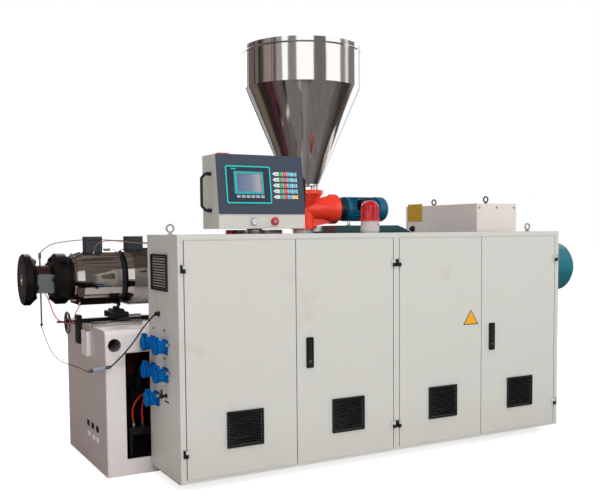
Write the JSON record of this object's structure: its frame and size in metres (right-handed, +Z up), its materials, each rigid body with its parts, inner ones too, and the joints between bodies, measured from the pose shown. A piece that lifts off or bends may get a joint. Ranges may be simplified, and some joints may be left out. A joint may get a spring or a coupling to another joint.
{
  "type": "plastic extruder",
  "caption": "Twin-screw plastic extruder with a feed hopper, heated barrel, gear housings, motor, electric cabinets with hinged doors and a swivelling operator console.",
  "frame": {"origin": "on the floor, under the barrel axis, in line with the outer wall of the left cabinet; the floor face of the front support is there", "axes": "+X along the machine from the die to the motor, -Y towards the operator and the cabinets, +Z up"},
  "size_m": [3.867, 1.265, 2.352],
  "materials": {
    "barrel_steel": "machined, slightly stained",
    "base_grey": "pale grey",
    "base_paint": "satin dark grey",
    "beige_paint": "satin, light beige-grey",
    "black_metal": "satin black",
    "black_plastic": "matt black",
    "black_steel": "blued steel",
    "blue_paint": "satin teal-blue",
    "blue_plastic": "semi-gloss blue",
    "brass": "plain",
    "bright_steel": "polished",
    "buttons": "light grey",
    "cable_grey": "matt",
    "cable_red": "matt",
    "dome_red": "translucent red",
    "green_paint": "satin dark green",
    "grey_paint": "satin grey",
    "ground_steel": "ground",
    "heater_cover": "brushed sheet",
    "mica_brown": "dull red-brown",
    "panel_foil": "dark blue-grey foil",
    "red_paint": "gloss red",
    "screen": "teal frame",
    "support_paint": "satin, light beige-grey"
  },
  "bodies": {
    "frame": {"barrel": "barrel_steel", "barrel_carriage": "black_metal", "barrel_flange": "black_steel", "base_frame": "base_paint", "beacon_base": "base_grey", "beacon_dome": "dome_red", "cabinet_hinges": "black_plastic", "console_turntable": "ground_steel", "cooling_ducts": "heater_cover", "coupling_guard": "beige_paint", "die_adapter": "black_steel", "feeder_casting": "red_paint", "feeder_motor": "blue_paint", "front_support": "support_paint", "gearbox": "green_paint", "guide_plate": "black_metal", "heater_covers": "heater_cover", "heater_lead": "mica_brown", "hopper": "bright_steel", "hose_manifold": "brass", "left_cabinet": "beige_paint", "lifting_eyes": "black_steel", "main_motor": "blue_paint", "motor_cowl": "blue_paint", "neck_heater": "mica_brown", "pressure_sensor": "bright_steel", "red_heater_lead": "cable_red", "reducer": "grey_paint", "right_cabinet": "beige_paint", "sensor_cable": "cable_grey", "sensor_capillary": "cable_grey", "side_grille": "black_plastic", "slide_rods": "bright_steel", "socket_housings": "blue_plastic", "support_hoses": "cable_red", "thermocouple_lead": "cable_grey", "valve_unit": "black_metal"},
    "door_1": {"door_1": "beige_paint", "door_1_grille": "black_plastic"},
    "door_2": {"door_2": "beige_paint", "door_2_grille": "black_plastic", "door_2_handle": "black_plastic"},
    "door_3": {"door_3": "beige_paint", "door_3_grille": "black_plastic"},
    "door_4": {"door_4": "beige_paint", "door_4_grille": "black_plastic", "door_4_handle": "black_plastic"},
    "lever_2": {"door_2_lever": "black_plastic"},
    "lever_4": {"door_4_lever": "black_plastic"},
    "lid_1": {"socket_lid_1": "blue_plastic"},
    "lid_2": {"socket_lid_2": "blue_plastic"},
    "lid_3": {"socket_lid_3": "blue_plastic"},
    "lid_4": {"socket_lid_4": "blue_plastic"},
    "lid_5": {"socket_lid_5": "blue_plastic"},
    "console": {"console_case": "beige_paint", "console_controls": "buttons", "console_handles": "black_plastic", "console_panel": "panel_foil", "console_screen": "screen"},
    "handwheel": {"handwheel": "bright_steel"}
  },
  "joints": [
    {"name": "door_1_hinge", "type": "hinge", "parent": "frame", "child": "door_1", "pos_m": [0.0295, -0.858, 0.6325], "axis": [0, 0, -1], "range_deg": [0, 110]},
    {"name": "door_2_hinge", "type": "hinge", "parent": "frame", "child": "door_2", "pos_m": [1.2155, -0.858, 0.6325], "axis": [0, 0, 1], "range_deg": [0, 85]},
    {"name": "door_3_hinge", "type": "hinge", "parent": "frame", "child": "door_3", "pos_m": [1.2545, -0.858, 0.6325], "axis": [0, 0, -1], "range_deg": [0, 85]},
    {"name": "door_4_hinge", "type": "hinge", "parent": "frame", "child": "door_4", "pos_m": [2.4025, -0.858, 0.6325], "axis": [0, 0, 1], "range_deg": [0, 110]},
    {"name": "lever_2_pin", "type": "hinge", "parent": "door_2", "child": "lever_2", "pos_m": [0.698, -0.8555, 0.693], "axis": [-1, 0, 0], "range_deg": [0, 35]},
    {"name": "lever_4_pin", "type": "hinge", "parent": "door_4", "child": "lever_4", "pos_m": [1.904, -0.8555, 0.693], "axis": [-1, 0, 0], "range_deg": [0, 35]},
    {"name": "lid_1_pin", "type": "hinge", "parent": "frame", "child": "lid_1", "pos_m": [-0.043, -0.662, 0.731], "axis": [0, 1, 0], "range_deg": [0, 100], "stiffness_Nm_per_rad": 0.04, "springref_deg": -34.38},
    {"name": "lid_2_pin", "type": "hinge", "parent": "frame", "child": "lid_2", "pos_m": [-0.043, -0.484, 0.731], "axis": [0, 1, 0], "range_deg": [0, 100], "stiffness_Nm_per_rad": 0.04, "springref_deg": -34.38},
    {"name": "lid_3_pin", "type": "hinge", "parent": "frame", "child": "lid_3", "pos_m": [-0.043, -0.662, 0.593], "axis": [0, 1, 0], "range_deg": [0, 100], "stiffness_Nm_per_rad": 0.04, "springref_deg": -34.38},
    {"name": "lid_4_pin", "type": "hinge", "parent": "frame", "child": "lid_4", "pos_m": [-0.043, -0.484, 0.593], "axis": [0, 1, 0], "range_deg": [0, 100], "stiffness_Nm_per_rad": 0.04, "springref_deg": -34.38},
    {"name": "lid_5_pin", "type": "hinge", "parent": "frame", "child": "lid_5", "pos_m": [-0.043, -0.524, 0.455], "axis": [0, 1, 0], "range_deg": [0, 100], "stiffness_Nm_per_rad": 0.04, "springref_deg": -34.38},
    {"name": "console_swivel", "type": "hinge", "parent": "frame", "child": "console", "pos_m": [0.506, -0.62, 1.251], "axis": [0, 0, 1], "range_deg": [-90, 90]},
    {"name": "handwheel_spin", "type": "hinge", "parent": "frame", "child": "handwheel", "pos_m": [-0.238, 0.086, 0.753], "axis": [1, 0, 0], "continuous": true}
  ]
}
